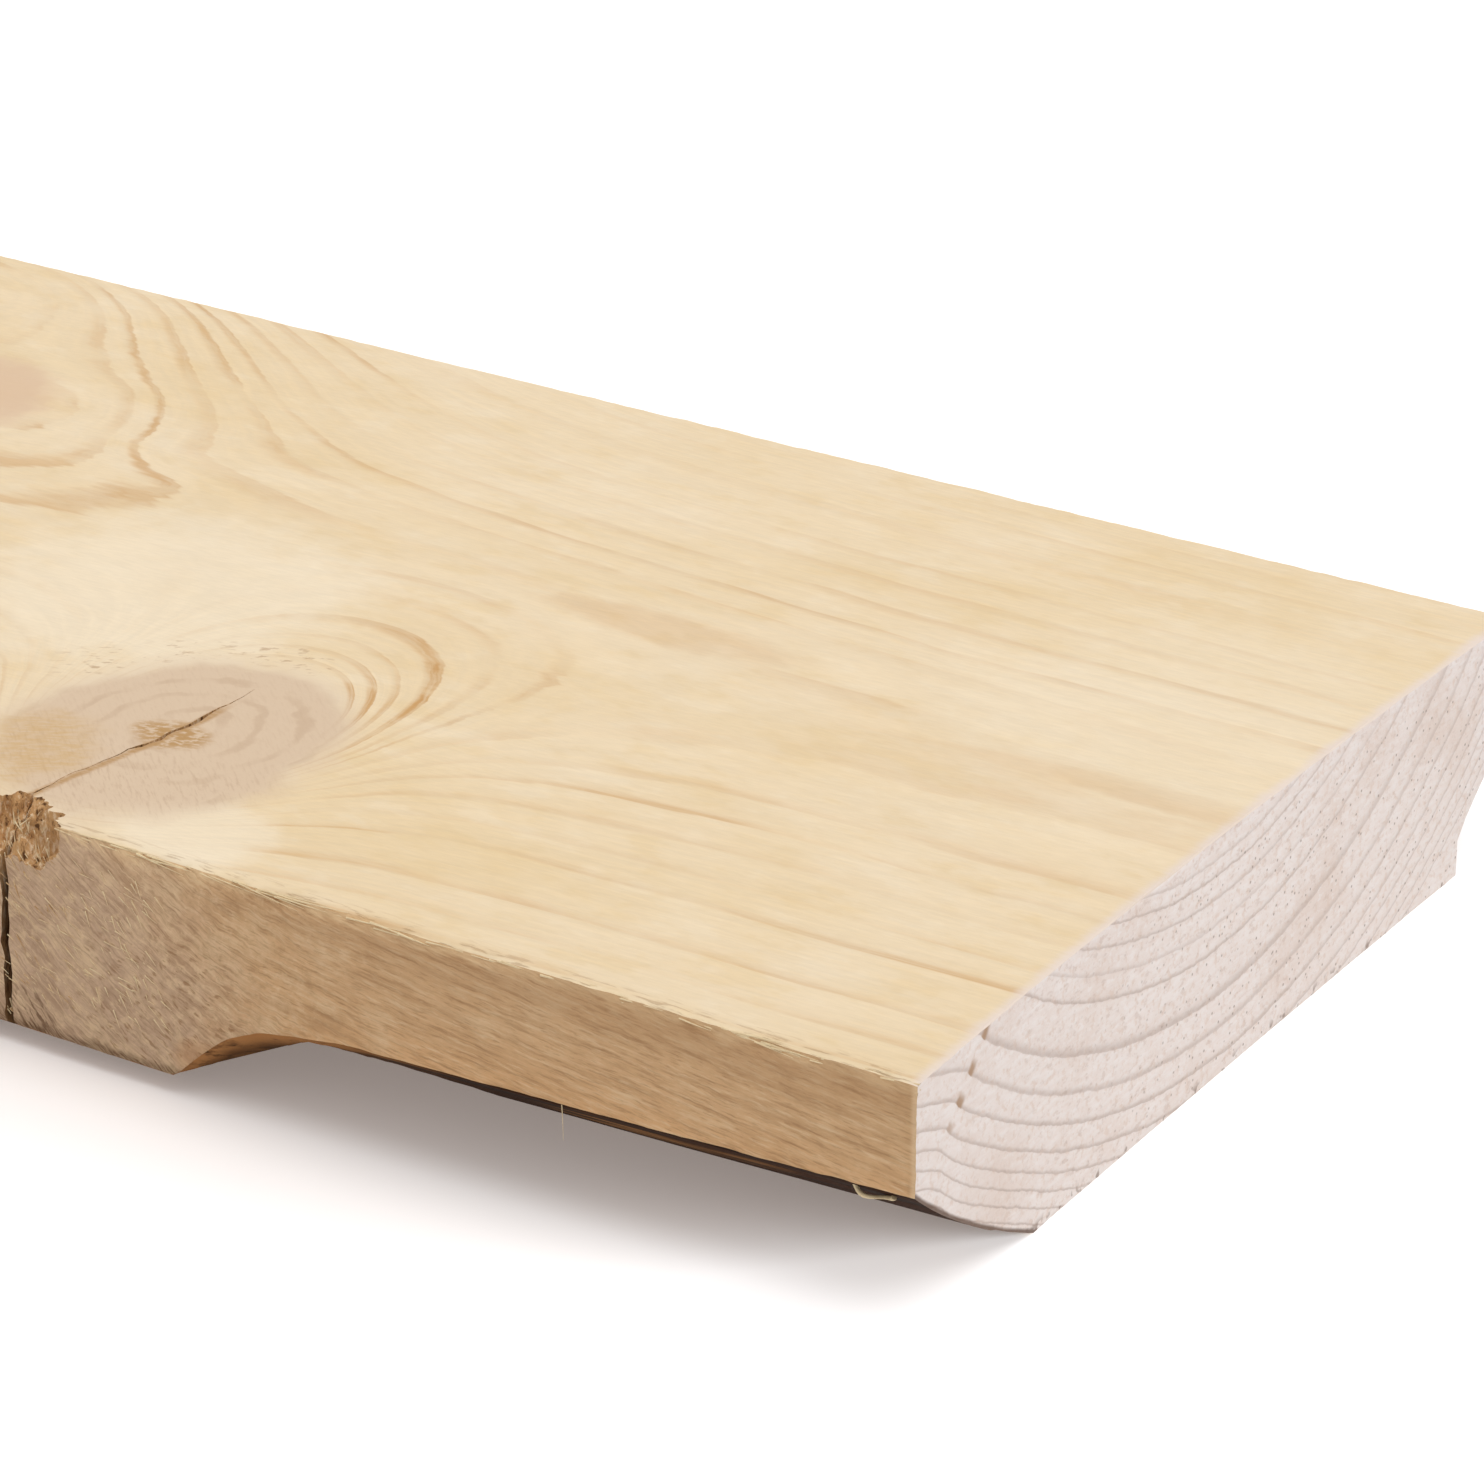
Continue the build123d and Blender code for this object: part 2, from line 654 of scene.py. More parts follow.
    def patch_group(self) -> Group:
        """Builds the group that masks a soft ragged patch on a face.

        Returns:
            The group, which puts out a mask, 1 in the middle of the patch.
        """
        group = Group(
            "soft_patch",
            {"Along": "value", "Across": "value", "Ragged": "value", "Middle": "vector", "Half": "vector"},
            {"Mask": "value"},
        )
        along, across, ragged, middle, half = group.takes()
        (x, y, _), (length, width, _) = middle.parts(), half.parts()
        u, v = (along - x) / length, (across - y) / width
        group.give("Mask", (u * u + v * v + ragged * 1.6).fall(0.4, 1.6))
        return group

    def slanting_group(self) -> Group:
        """Builds the group that draws short slanting fibres on a face.

        Returns:
            The group, which puts out the fibres, about 0.5.
        """
        group = Group(
            "slanting_fibres",
            {"Along": "value", "Across": "value", "Slant": "value", "Length": "value", "Width": "value"},
            {"Fibres": "value"},
        )
        along, across, slant, length, width = group.takes()
        steep = (slant * slant + 1.0).math("SQRT")
        run = (along + across * slant) / (steep * length)
        side = (across - along * slant) / (steep * width)
        group.give("Fibres", cloud(join(group.tree, run, side, 0.0), 1.0, 3.0, 0.6))
        return group


# Finishes

@dataclass(frozen=True)
class Patch:
    """A soft patch on a face: its middle, from the trimmed end and across, and its half sizes."""

    along: float
    across: float
    half_length: float
    half_width: float


class Finish:
    """A finish of the board: a material with its place, rings and shader ready to wire."""

    name = "wood"

    def __init__(self, growth: Growth) -> None:
        """Starts the material.

        Args:
            growth: The shared growth groups.
        """
        self.growth = growth
        self.material = bpy.data.materials.new(self.name)
        self.material.use_nodes = True
        self.tree = self.material.node_tree
        self.shader = self.tree.nodes["Principled BSDF"]
        self.shader.inputs["Specular IOR Level"].default_value = 0.25
        coords = lay(self.tree, "ShaderNodeTexCoord", {}, "Object")
        self.place = lay(
            self.tree, "ShaderNodeMapping",
            {"Vector": coords, "Location": (-TRIMMED_END, 0.0, 0.0), "Scale": (1000.0, 1000.0, 1000.0)},
        )
        self.x, self.y, self.z = self.place.parts()
        self.ragged = cloud(self.place, 0.16, 3.0, 0.6) - 0.5
        self.ring = growth.rings.place(self.tree, {"Place": self.ring_place()})

    def ring_place(self) -> Flow:
        """Where the rings are read."""
        return self.place

    def spot(self, *patches: Patch, across: Flow | None = None) -> Flow:
        """Lays soft ragged patches on a face.

        Args:
            patches: The patches.
            across: The way across the face, Y unless it is given.

        Returns:
            A mask, 1 in the middle of each patch.
        """
        masks = []
        for patch in patches:
            masks.append(self.growth.patch.place(self.tree, {
                "Along": self.x, "Across": across or self.y, "Ragged": self.ragged,
                "Middle": (patch.along, patch.across, 0.0),
                "Half": (patch.half_length, patch.half_width, 1.0),
            })["Mask"])
        return reduce(Flow.most, masks)

    def hatch(self, slant: float, length: float, width: float, across: Flow | None = None) -> Flow:
        """Lays short slanting fibres on a face.

        Args:
            slant: Rise for each millimetre along the board.
            length: Length of the fibres.
            width: Width of the fibres.
            across: The way across the face, Y unless it is given.

        Returns:
            The fibres, about 0.5.
        """
        face = {"Along": self.x, "Across": across or self.y}
        feeds = face | {"Slant": slant, "Length": length, "Width": width}
        return self.growth.slanting.place(self.tree, feeds)["Fibres"]

    def stretched(self, scale: Sequence[float], *layers: float) -> Flow:
        """Lays a noise texture with a scale of its own along, across and through the board."""
        return cloud(self.place.vector("MULTIPLY", scale), 1.0, *layers)

    def mix(self, under: Shade, over: Shade, share: Feed, way: str = "MIX") -> Flow:
        """Mixes two colours, which are written or already mixed.

        Args:
            under: The first colour.
            over: The second colour.
            share: How much of the second one shows.
            way: How they are mixed.

        Returns:
            The mixed colour.
        """
        first, second = (paint(shade) if isinstance(shade, str) else shade for shade in (under, over))
        feeds = {0: share, 6: first, 7: second}
        return lay(self.tree, "ShaderNodeMix", feeds, 2, data_type="RGBA", blend_type=way)

    def coats(self, colour: Shade, *layers: tuple[Shade, Feed]) -> Flow:
        """Lays colours over one another.

        Args:
            colour: The first colour.
            layers: The colours over it, each with how much of it shows.

        Returns:
            The mixed colour.
        """
        for over, share in layers:
            colour = self.mix(colour, over, share)
        return colour

    def streaks(self, length: float, width: float) -> dict[str, Flow]:
        """Lays fibres of a length and width in millimetres."""
        feeds = {"Place": self.place, "Radius": self.ring["Radius"], "Length": length, "Width": width}
        return self.growth.fibres.place(self.tree, feeds)

    def wire(self, colour: Flow, rough: Flow, height: Flow, depth: float) -> Material:
        """Feeds the shader.

        Args:
            colour: The base colour.
            rough: The roughness.
            height: The height of the fine relief, from 0 to 1.
            depth: How deep that relief is, in millimetres.

        Returns:
            The finished material.
        """
        links = self.tree.links
        links.new(colour.socket, self.shader.inputs["Base Color"])
        links.new(rough.socket, self.shader.inputs["Roughness"])
        bump = lay(self.tree, "ShaderNodeBump", {"Height": height, "Distance": depth * MM, "Strength": 1.0})
        links.new(bump.socket, self.shader.inputs["Normal"])
        return self.material


@dataclass(frozen=True)
class TopColours:
    """Colours of the planed top."""

    pale: str = "EFDBB9"
    deep: str = "E6CB9A"
    late: str = "C99A5F"
    cream: str = "F5E6CB"
    knot: str = "DAC2A6"
    knot_ring: str = "BC9E80"
    knot_rim: str = "E9D7BC"
    small_knot: str = "DCBD9E"
    honey: str = "CDA86E"
    pith: str = "B0823F"
    crack: str = "B68D5A"
    torn: str = "A57B50"
    end: str = "EADBD0"


class PlanedTop(Finish):
    """The smooth top face: pale flat sawn grain with soft latewood lines and pinkish knots."""

    name = "planed_top"
    colours = TopColours()
    SMALL_KNOT = Patch(-220.0, 28.0, 13.0, 13.0)
    TORN_RIM = (Patch(-143.0, -29.0, 13.0, 11.0), Patch(-126.0, -21.0, 7.0, 5.0))
    BLANK = (Patch(-153.0, -12.0, 25.0, 24.0), Patch(-106.0, -67.0, 10.0, 9.0))
    BARE = (Patch(-243.0, 55.0, 19.0, 18.0), Patch(-216.0, 29.0, 14.0, 12.0))
    FRESH = Patch(-18.0, 24.0, 26.0, 34.0)
    FAINT = Patch(-88.0, -42.0, 24.0, 12.0)
    KINKS = Patch(-176.0, 23.0, 20.0, 15.0)
    LONG_STREAK = Patch(-90.0, 13.0, 19.0, 4.5)
    END_STREAK = Patch(-8.0, 3.0, 26.0, 3.0)
    HONEY = Patch(-138.0, -60.0, 9.0, 11.0)
    PITH = Patch(-124.4, -47.0, 5.0, 3.6)

    def build(self) -> Material:
        """Wires the finish.

        Returns:
            The material.
        """
        c = self.colours
        fibre = self.streaks(22.0, 0.5)
        flecks = self.hatch(0.05, 3.0, 0.5)
        shade = fibre["Fine"].ease(0.28, 0.72, 0.965, 1.02) * flecks.ease(0.3, 0.7, 0.975, 1.02)
        reach = self.ring["Reach"]
        rim = reach.ease(0.85, 1.0) * reach.fall(1.12, 1.4)
        tears = self.hatch(0.55, 2.4, 0.9).ease(0.53, 0.64) * rim * self.spot(*self.TORN_RIM)
        path = self.y.ease(-80.0, -36.0, -129.0, -123.6)
        crack = (self.x - path).math("ABSOLUTE") + self.ragged * 1.4
        crack = crack.fall(0.15, 1.1) * self.y.fall(-40.0, -34.0)
        lip = self.hatch(-0.03, 5.0, 0.45).ease(0.53, 0.64) * self.y.fall(-74.4, -71.5)
        hollow = self.y * self.y * (-END_HOLLOW / HALF_WIDTH**2) + END_HOLLOW
        edge = self.x + hollow + self.ragged * 2.0 + flecks
        colour = self.coats(
            self.mix(self.grain(fibre), join(self.tree, shade, shade, shade), 1.0, "MULTIPLY"),
            (self.knots(), (reach + self.ragged * 0.14).fall(0.76, 1.08, 0.95)),
            (c.small_knot, self.spot(self.SMALL_KNOT) * 0.8),
            (c.torn, tears * cloud(self.place, 0.3, 2.0).ease(0.44, 0.56) * 0.5),
            (c.crack, crack * flecks.ease(0.3, 0.6, 0.5, 0.9)),
            (c.torn, lip * 0.45),
            (c.end, edge.ease(-1.4, 0.6, 0.0, 0.9)),
        )
        rough = fibre["Fine"].ease(0.2, 0.8, 0.5, 0.66)
        return self.wire(colour, rough, flecks - lip, 0.06)

    def grain(self, fibre: dict[str, Flow]) -> Flow:
        """Lays the clear wood with its ring lines.

        Args:
            fibre: The fibres that break the lines up.

        Returns:
            The colour.
        """
        c = self.colours
        year, depth = self.ring["Year"], self.ring["Depth"]
        patch = self.stretched((0.016, 0.03, 0.03), 2.0)
        blank = self.spot(*self.BLANK)
        mottle = self.stretched((0.09, 0.17, 0.17), 4.0, 0.62)
        seen = self.y.ease(24.0, 62.0, 1.0, 0.3).most(self.x.fall(-210.0, -120.0, 0.9))
        seen = seen * (blank * -0.8 + 1.0) * fibre["Coarse"].ease(0.3, 0.7, 0.5, 1.0)
        seen = seen * (self.spot(self.FAINT) * -0.5 + 1.0) * (self.spot(*self.BARE) * -0.95 + 1.0)
        bold = self.ring["Reach"].fall(1.0, 2.2) * self.x.ease(-132.0, -110.0)
        bold = bold * self.y.ease(-50.0, -40.0)
        bold = bold.most(self.x.fall(-215.0, -150.0, 0.7) * self.x.ease(-330.0, -270.0))
        bold = bold.most(self.spot(self.KINKS) * 0.7)
        fade = self.stretched((0.036, 0.13, 0.13), 3.0) + bold * 0.14
        step = (bold * 0.2 + year + (fibre["Coarse"] - 0.5) * 0.3).ease(0.66, 1.0)
        late = (step * (bold * 0.4 + 0.48) + year ** 2.5 * 0.19) * depth * seen
        late = late * fibre["Fine"].ease(0.36, 0.6, 0.6, 1.15) * fade.ease(0.36, 0.64, 0.22, 1.2)
        late = late.most(self.spot(self.LONG_STREAK) * fibre["Coarse"].ease(0.35, 0.65, 0.08, 0.3))
        late = late.most(self.spot(self.END_STREAK) * fibre["Coarse"].ease(0.35, 0.65, 0.1, 0.45))
        return self.coats(
            c.pale,
            (c.deep, patch.ease(0.35, 0.75, 0.0, 0.5)),
            (c.cream, mottle.ease(0.52, 0.68, 0.0, 0.32)),
            (c.deep, mottle.fall(0.32, 0.5, 0.4)),
            (c.cream, blank.most(self.spot(self.FRESH) * 0.6) * 0.7),
            (c.late, late),
        )

    def knots(self) -> Flow:
        """Lays the knots' own wood.

        Returns:
            The colour.
        """
        c = self.colours
        reach = self.ring["Reach"]
        loops = (reach * 30.0 + cloud(self.place, 0.4, 3.0) * 2.4).math("SINE")
        broken = cloud(self.place, 0.14, 2.0).ease(0.4, 0.65)
        hairs = self.hatch(-0.9, 2.6, 0.45).ease(0.46, 0.72, 0.0, 0.5) * self.y.ease(-58.0, -46.0, 1.0, 0.35)
        light = reach.ease(0.78, 0.9) * reach.ease(0.92, 1.04, 1.0, 0.4)
        light = light * self.y.ease(-55.0, -38.0, 0.2, 1.0) * self.x.ease(-122.0, -104.0, 1.0, 0.25)
        honey = self.spot(self.HONEY) * self.hatch(0.6, 2.4, 0.7).ease(0.3, 0.66, 0.25, 0.7)
        pith = self.spot(self.PITH) * self.hatch(0.25, 1.6, 0.7).ease(0.38, 0.56, 0.1, 1.0)
        return self.coats(
            c.knot,
            (c.knot_ring, loops.ease(0.3, 1.0, 0.0, 0.4) * broken),
            (c.knot_ring, hairs),
            (c.knot_rim, light * 0.8),
            (c.honey, honey),
            (c.pith, pith * 0.85),
        )


@dataclass(frozen=True)
class EdgeColours:
    """Colours of the rough sawn edges."""

    base: str = "D6AE82"
    pale: str = "E6C8A0"
    dark: str = "A88058"
    warm: str = "DFA972"
    knot: str = "CDAE92"
    knot_dark: str = "A08065"
    row: str = "8C6238"
    worn: str = "E6C699"
    flush: str = "C48E5C"
    # Painted shade for the hollows at the foot of the knot and along the lower edge by the floor.
    painted_shade: str = "5A3A1C"


class SawnEdge(Finish):
    """The fuzzy sawn edges: brown torn fibres that fan out from the knot, and a worn arris."""

    name = "sawn_edge"
    colours = EdgeColours()
    FUZZY = (-105.0, -60.0)
    FLUSH = Patch(-98.5, 5.5, 5.0, 3.2)
    WORN = Patch(-88.0, 31.0, 32.0, 9.0)
    # Where painted shade darkens the foot of the knot on the near edge.
    FOOT = Patch(-126.5, 4.6, 4.2, 3.8)
    DASHES = Patch(-105.0, 11.0, 13.0, 12.0)

    def build(self) -> Material:
        """Wires the finish.

        Returns:
            The material.
        """
        c = self.colours
        way = self.fan()
        hair = self.hatch(0.0, 2.2, 0.26, way)
        short = self.hatch(0.0, 4.6, 0.6, way)
        long = self.hatch(0.0, 24.0, 1.8, way)
        strand = self.hatch(0.0, 11.0, 0.75, way)
        clear = self.x.ease(-112.0, -55.0)
        knot = (self.ring["Reach"] + self.ragged * 0.5).fall(0.75, 1.6, 0.9)
        dark = self.mix(c.dark, c.knot_dark, knot)
        felt = (cloud(self.place, 0.55, 4.0, 0.7) - 0.5) * self.x.ease(*self.FUZZY, 1.0, 0.3) + 0.5
        blots = (cloud(self.place, 0.15, 3.0, 0.6) - 0.5) * self.x.ease(*self.FUZZY, 1.0, 0.4) + 0.5
        lip = self.z + self.ragged * 3.0 + (short - 0.5) * 4.0
        band = self.spot(self.WORN, across=self.z)
        near = self.near_side()
        # Painted shade: dark blots at the foot of the knot and a dark fringe along the lower edge, where the
        # board meets the floor.
        foot = self.spot(self.FOOT, across=self.z) * near
        foot = foot * self.hatch(-1.5, 3.2, 0.55, self.z).fall(0.4, 0.5)
        fringe_shade = (self.z + self.ragged * 2.4).fall(3.2, 4.6) * near * self.x.ease(-170.0, -150.0)
        colour = self.coats(
            c.base,
            (c.warm, self.z.fall(8.0, 24.0, 0.8) * clear),
            (c.knot, knot),
            (c.pale, blots.ease(0.5, 0.66, 0.0, 0.4)),
            (dark, blots.fall(0.34, 0.5, 0.28)),
            (dark, long.fall(0.3, 0.55, 0.3)),
            (dark, strand.fall(0.3, 0.47, 0.65)),
            (c.pale, strand.ease(0.53, 0.7, 0.0, 0.5)),
            (dark, felt.fall(0.32, 0.5, 0.38)),
            (c.pale, felt.ease(0.5, 0.68, 0.0, 0.6)),
            (c.pale, short.ease(0.52, 0.7, 0.0, 0.55)),
            (dark, short.fall(0.3, 0.46, 0.5)),
            (dark, hair.fall(0.3, 0.46, 0.5)),
            (c.pale, hair.ease(0.56, 0.74, 0.0, 0.45)),
            # Painted shade: the near edge darkens towards the top, just under the arris.
            (dark, self.z.ease(24.0, 30.0, 0.0, 0.35) * clear),
            (c.row, self.rows(way) * 0.6),
            (c.flush, self.spot(self.FLUSH, across=self.z) * 0.4),
            (c.worn, lip.ease(29.9, 31.6) * band.ease(0.0, 1.0, 0.35, 0.65)),
            # Painted shade at the foot of the knot and along the lower edge.
            (c.painted_shade, foot * 0.65),
            (c.painted_shade, fringe_shade * hair.ease(0.4, 0.6, 0.75, 0.4)),
            (c.pale, self.x.ease(-1.0, -0.3) * 0.6),
        )
        rough = short.ease(0.2, 0.8, 0.74, 0.9)
        height = short * 0.4 + hair * 0.4 + felt * 0.4
        return self.wire(colour, rough, height, 0.3)

    def near_side(self) -> Flow:
        """Tells the near edge from the far one."""
        return self.y.fall(-1.0, 1.0)

    def fan(self) -> Flow:
        """Bends the way across the fibres, which turn from steep at the knot to level past it.

        Returns:
            The bent height.
        """
        past = self.x + 100.0
        turn = (past - (past * past + 150.0).math("SQRT")) * 0.5
        waves = (cloud(self.place, 0.22, 3.0, 0.6) - 0.5) * self.x.ease(-108.0, -70.0, 2.6, 0.6)
        return self.z + past * 0.11 + turn * 0.65 + waves

    def rows(self, way: Flow) -> Flow:
        """Lays the slanting rows of torn dashes beside the knot.

        Args:
            way: The way across the fibres.

        Returns:
            A mask, 1 on a dash.
        """
        wave = ((self.z - self.x * 0.95) * 1.9 + cloud(self.place, 0.2, 3.0, 0.6) * 20.0).math("SINE")
        dashes = self.hatch(0.0, 2.0, 0.5, way).ease(0.5, 0.64)
        zone = self.spot(self.DASHES, across=self.z) * self.near_side()
        return wave.ease(-0.4, 0.9) * dashes * zone


@dataclass(frozen=True)
class EndColours:
    """Colours of the end grain."""

    base: str = "F1E3DB"
    pale: str = "F7EEE9"
    warm: str = "E6D1C3"
    chip: str = "CDB5A7"
    line: str = "B0988A"
    speck: str = "8C7263"
    pocket: str = "B08C6C"
    bark: str = "5A3B22"


class EndGrain(Finish):
    """The sawn ends: pinkish white with soft ring lines, pores and a skin of bark on the wane."""

    name = "end_grain"
    colours = EndColours()

    def ring_place(self) -> Flow:
        """Where the rings are read, with the jog that a ray makes in them beside the near edge.

        Returns:
            The bent place.
        """
        self.ray = self.y - (self.z - 22.0).most(0.0) * 0.95 + 68.0
        past = self.ray.fall(-4.0, 2.0)
        level = self.y + (self.ray + 1.0).least(0.0) * -0.4
        return join(self.tree, self.x, level, self.z - past * 0.6)

    def build(self) -> Material:
        """Wires the finish.

        Returns:
            The material.
        """
        c = self.colours
        year, depth = self.ring["Year"], self.ring["Depth"]
        flat = self.place.vector("MULTIPLY", (0.0, 1.0, 1.0))
        saw = self.stretched((0.1, 0.35, 1.5), 3.0, 0.6)
        crumbs = cloud(flat, 0.85, 3.0, 0.6)
        patch = cloud(self.place, 0.06, 2.0) - 0.05
        chips = cloud(flat.vector("MULTIPLY", (1.0, 0.7, 1.2)), 0.8, 3.0, 0.65)
        zone = self.y.ease(-66.0, -36.0, 0.25, 1.0) * self.y.ease(15.0, 60.0, 1.0, 0.6)
        line = (year.ease(0.76, 0.98) * 0.6 + year ** 3.0 * 0.19) * depth * self.y.ease(-15.0, 45.0, 1.0, 0.7)
        pocket = (self.ray.math("ABSOLUTE") + self.ragged * 2.0).fall(0.4, 1.5)
        pocket = pocket * year.ease(0.45, 0.8) * self.z.ease(21.0, 25.0)
        out = join(self.tree, 0.0, self.y - 1.0, self.z - PITH_HEIGHT).vector("LENGTH", (0.0, 0.0, 0.0), 1)
        skin = (out + self.ragged * 0.5).ease(114.9, 115.4) * self.y.fall(-40.0, -30.0)
        colour = self.coats(
            c.base,
            (c.pale, saw.ease(0.35, 0.7, 0.2, 1.0)),
            (c.warm, patch.ease(0.42, 0.72, 0.0, 0.5)),
            (c.warm, crumbs.fall(0.34, 0.48, 0.6)),
            (c.chip, chips.fall(0.34, 0.45, 0.36) * zone),
            (c.pale, chips.ease(0.56, 0.66, 0.0, 0.8) * zone),
            (c.line, line * crumbs.ease(0.3, 0.6, 0.7, 1.0)),
            (c.speck, self.specks(flat) * 0.7),
            (c.pocket, pocket * 0.85),
            (c.bark, skin * 0.85),
        )
        rough = saw.ease(0.2, 0.8, 0.7, 0.85)
        return self.wire(colour, rough, saw * 0.6 + crumbs * 0.6, 0.16)

    def specks(self, flat: Flow) -> Flow:
        """Lays resin pores and the chips along the lower arris.

        Args:
            flat: The place on the end.

        Returns:
            A mask, 1 on a speck.
        """
        near = lay(self.tree, "ShaderNodeTexVoronoi", {"Vector": flat, "Scale": 0.95}, "Distance")
        chance = Flow(self.tree, near.socket.node.outputs["Color"]).parts()[0].ease(0.35, 0.37)
        pores = near.fall(0.1, 0.24) * chance
        pores = pores * self.y.ease(-45.0, 0.0, 0.15, 1.0) * self.z.fall(27.0, 31.0)
        chips = cloud(flat, 0.42, 2.0).ease(0.6, 0.66) * self.z.fall(0.3, 1.8)
        return (pores * 0.9).most(chips)


@dataclass(frozen=True)
class BarkColours:
    """Colours of the board's lower side."""

    # The wane's own dark brown, darkened further as painted shade for the deep shade under the board.
    base: str = "371F10"
    dark: str = "1B0F07"
    tan: str = "A8784B"
    collar: str = "B67F4E"
    sawn: str = "D9BA90"
    sawn_dark: str = "BC966A"


class BarkSide(Finish):
    """The lower side: dark wane where the log's surface is left, darkened further by painted shade, and plain
    sawn wood between.
    """

    name = "bark_side"
    colours = BarkColours()

    def build(self) -> Material:
        """Wires the finish.

        Returns:
            The material.
        """
        c = self.colours
        self.shader.inputs["Specular IOR Level"].default_value = 0.08
        strand = self.stretched((0.045, 0.5, 0.5), 4.0, 0.62, 0.4)
        patch = self.stretched((0.02, 0.06, 0.06), 3.0, 0.6)
        collar = self.ring["Reach"].fall(1.4, 2.5, 0.95) * strand.ease(0.3, 0.5)
        # Painted shade: the collar's orange shows in full only at the outer rim and fades inwards under the
        # board, where the dark wane shows.
        collar = collar * self.y.math("ABSOLUTE").ease(72.9, 74.6, 0.15, 1.0)
        wane = self.coats(
            c.base,
            (c.dark, strand.fall(0.36, 0.58, 0.85)),
            (c.tan, patch.ease(0.52, 0.7, 0.0, 0.7) * strand.ease(0.35, 0.6)),
            (c.collar, collar),
        )
        fibre = self.streaks(22.0, 0.9)
        bands = (self.x * 1.9 + cloud(self.place, 0.02, 2.0) * 9.0).math("SINE")
        sawn = self.coats(
            c.sawn,
            (c.sawn_dark, self.ring["Year"] ** 3.0 * self.ring["Depth"] * 0.6),
            (c.sawn_dark, fibre["Fine"].fall(0.3, 0.55, 0.6)),
            (c.sawn_dark, bands.ease(0.4, 1.0, 0.0, 0.25)),
        )
        rim = strand * 0.9 + self.z
        colour = self.mix(sawn, wane, rim.ease(0.6, 1.1))
        rough = strand.ease(0.2, 0.8, 0.7, 0.9)
        return self.wire(colour, rough, strand, 0.5)


@dataclass(frozen=True)
class TornColours:
    """Colours of broken wood."""

    base: str = "C69A68"
    pale: str = "EFD6B2"
    # Dark of the broken strands, also used for painted shade deep in the check.
    dark: str = "553416"


class TornWood(Finish):
    """Broken wood inside the check and the pit of the knot."""

    name = "torn_wood"
    colours = TornColours()

    def build(self) -> Material:
        """Wires the finish.

        Returns:
            The material.
        """
        c = self.colours
        strand = self.stretched((1.1, 1.1, 0.28), 4.0, 0.65)
        colour = self.coats(
            c.base,
            (c.pale, strand.ease(0.5, 0.68)),
            (c.dark, strand.fall(0.34, 0.48, 0.95)),
            # Painted shade: the broken wood darkens downwards, deep in the check.
            (c.dark, self.z.fall(20.0, 26.0, 0.8)),
        )
        rough = strand.ease(0.2, 0.8, 0.75, 0.9)
        return self.wire(colour, rough, strand, 0.5)


@dataclass(frozen=True)
class FibreColours:
    """Colours of loose fibres."""

    pale: str = "EAD6AE"
    brown: str = "C0986A"


class LooseFibre(Finish):
    """Fibres that the saws tore loose: pale, browner at the broken knot."""

    name = "loose_fibre"
    colours = FibreColours()
    BROKEN_KNOT = Patch(-127.5, -74.0, 9.0, 9.0)

    def build(self) -> Material:
        """Wires the finish.

        Returns:
            The material.
        """
        c = self.colours
        strand = cloud(self.place, 0.7, 2.0)
        knot = self.spot(self.BROKEN_KNOT)
        colour = self.mix(c.pale, c.brown, (strand.ease(0.35, 0.65) * (knot * 0.8 + 0.2)))
        return self.wire(colour, strand.ease(0.2, 0.8, 0.7, 0.9), strand, 0.1)


# Shape of the board

def grainy(places: np.ndarray, layers: int) -> np.ndarray:
    """Fractal noise at many places.

    Args:
        places: Points in rows, already divided by the size of the noise.
        layers: How many layers it has.

    Returns:
        One value for each point, about 0.
    """
    return np.array([noise.fractal(p, 1.0, 2.0, layers) for p in places.tolist()])


def unit(values: np.ndarray) -> np.ndarray:
    """Keeps values between 0 and 1."""
    return np.clip(values, 0.0, 1.0)


def deselect() -> None:
    """Leaves nothing selected."""
    bpy.ops.object.select_all(action="DESELECT")


def block(name: str, low: Triple, high: Triple, cuts: Iterable[Iterable[float]]) -> Object:
    """Adds a block and saws it into a lattice of faces.

    Args:
        name: The object's name.
        low: Its lowest corner, in millimetres.
        high: Its highest corner, in millimetres.
        cuts: Where it is cut along X, Y and Z, in millimetres.

    Returns:
        The object, with its place in its mesh.
    """
    deselect()
    bpy.ops.mesh.primitive_cube_add(size=1.0, location=(0.0, 0.0, 0.0))
    piece = bpy.context.object
    piece.name = name
    piece.data.name = name
    span = [(b - a) * MM for a, b in zip(low, high)]
    middle = [(a + b) / 2 * MM for a, b in zip(low, high)]
    bpy.ops.object.mode_set(mode="EDIT")
    bpy.ops.mesh.select_all(action="SELECT")
    bpy.ops.transform.resize(value=span)
    bpy.ops.transform.translate(value=middle)
    for axis, spots in enumerate(cuts):
        normal = [0.0, 0.0, 0.0]
        normal[axis] = 1.0
        for spot in spots:
            point = [share * spot * MM for share in normal]
            bpy.ops.mesh.select_all(action="SELECT")
            bpy.ops.mesh.bisect(plane_co=point, plane_no=normal, threshold=1e-7)
    bpy.ops.object.mode_set(mode="OBJECT")
    return piece


def points_of(piece: Object) -> np.ndarray:
    """Reads a piece's vertices in millimetres, one in each row."""
    flat = np.empty(len(piece.data.vertices) * 3)
    piece.data.vertices.foreach_get("co", flat)
    return flat.reshape(-1, 3) / MM


def set_points(piece: Object, places: np.ndarray) -> None:
    """Moves a piece's vertices to places in millimetres."""
    piece.data.vertices.foreach_set("co", (places * MM).ravel())
    piece.data.update()


